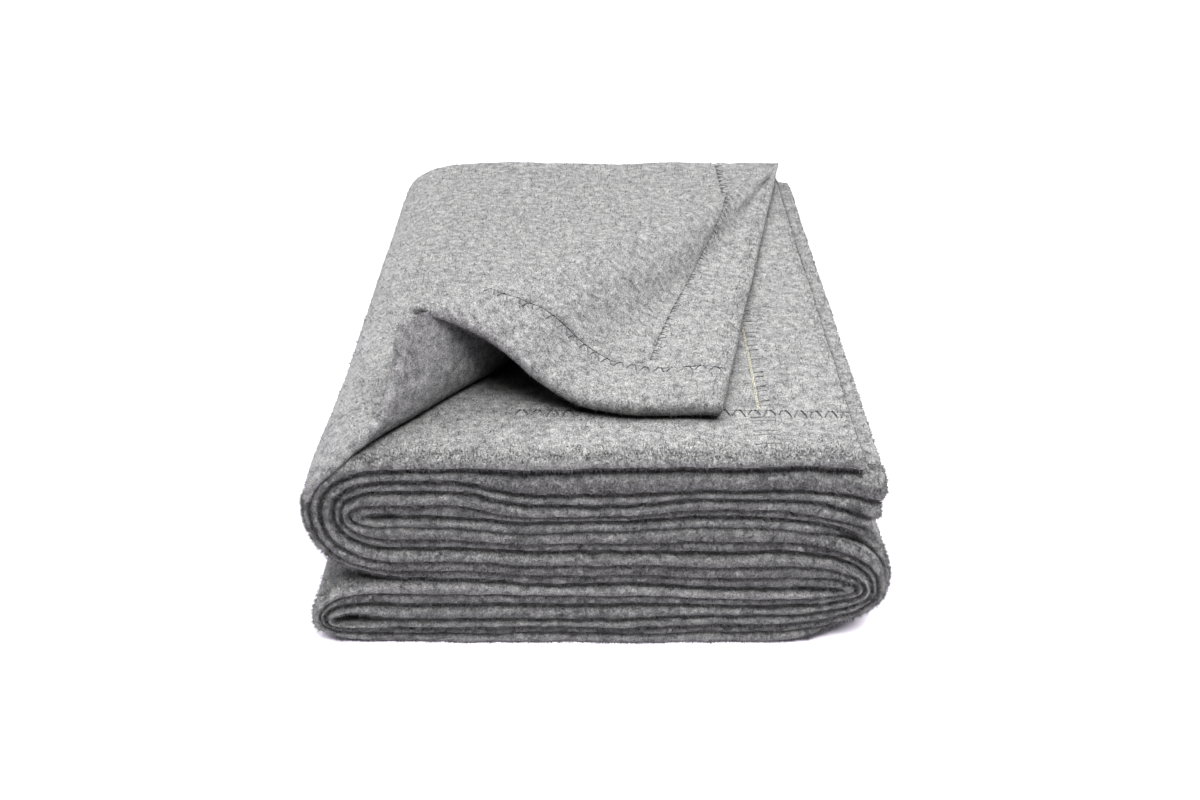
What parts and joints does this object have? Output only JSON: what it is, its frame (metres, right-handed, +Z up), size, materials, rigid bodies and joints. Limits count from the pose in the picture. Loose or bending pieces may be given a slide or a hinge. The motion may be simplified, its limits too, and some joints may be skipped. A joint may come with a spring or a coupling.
{
  "type": "folded throw blanket",
  "caption": "Fleece throw folded into a flat rectangular stack, wide stitched hems, its top leaf's front corner lifted into a low arch.",
  "frame": {"origin": "on the surface that the stack lies on, under the centre of its bounding box", "axes": "+Z up, +Y from the front hems to the back fold, +X to the side of the lower fold that holds all six layers"},
  "size_m": [0.34, 0.51, 0.2068],
  "materials": {
    "fleece": "brushed grey melange fleece pile",
    "hem_stitching": "grey twisted sewing thread"
  },
  "bodies": {
    "lower_packet": {"lower_ply_a": "fleece", "lower_ply_b": "fleece", "lower_ply_c": "fleece", "lower_ply_d": "fleece", "lower_ply_e": "fleece", "lower_ply_f": "fleece", "lower_fold_bend_1": "fleece", "lower_fold_bend_2": "fleece", "lower_fold_bend_3": "fleece", "right_fold_bend_1": "fleece", "right_fold_bend_2": "fleece", "right_fold_bend_3": "fleece", "right_fold_bend_4": "fleece", "right_fold_bend_5": "fleece", "right_fold_bend_6": "fleece"},
    "middle_packet": {"middle_ply_a": "fleece", "middle_ply_b": "fleece", "middle_ply_c": "fleece", "middle_ply_d": "fleece", "middle_ply_e": "fleece", "middle_ply_f": "fleece", "left_fold_bend_1": "fleece", "left_fold_bend_2": "fleece", "left_fold_bend_3": "fleece", "left_fold_bend_4": "fleece", "left_fold_bend_5": "fleece", "left_fold_bend_6": "fleece"},
    "upper_packet": {"upper_ply_b": "fleece", "upper_ply_c": "fleece", "upper_ply_d": "fleece", "upper_ply_e": "fleece", "upper_ply_f": "fleece", "top_leaf_flat": "fleece", "front_hem_stitches": "hem_stitching", "right_hem_stitches": "hem_stitching"},
    "corner_flap": {"flap_wall": "fleece", "flap_slope": "fleece", "flap_toe": "fleece"}
  },
  "joints": [
    {"name": "lower_fold_opening", "type": "hinge", "parent": "lower_packet", "child": "middle_packet", "pos_m": [0.134, 0, 0.04545], "axis": [0, 1, 0], "range_deg": [0, 60], "deforming": ["right_fold_bend_1", "right_fold_bend_2", "right_fold_bend_3", "right_fold_bend_4", "right_fold_bend_5", "right_fold_bend_6"]},
    {"name": "upper_fold_opening", "type": "hinge", "parent": "middle_packet", "child": "upper_packet", "pos_m": [-0.134, 0, 0.09105], "axis": [0, -1, 0], "range_deg": [0, 60], "deforming": ["left_fold_bend_1", "left_fold_bend_2", "left_fold_bend_3", "left_fold_bend_4", "left_fold_bend_5", "left_fold_bend_6"]},
    {"name": "corner_flap_lift", "type": "hinge", "parent": "upper_packet", "child": "corner_flap", "pos_m": [0.16, 0.255, 0.1365], "axis": [-0.5194, -0.8545, 0], "range_deg": [0, 40]}
  ]
}
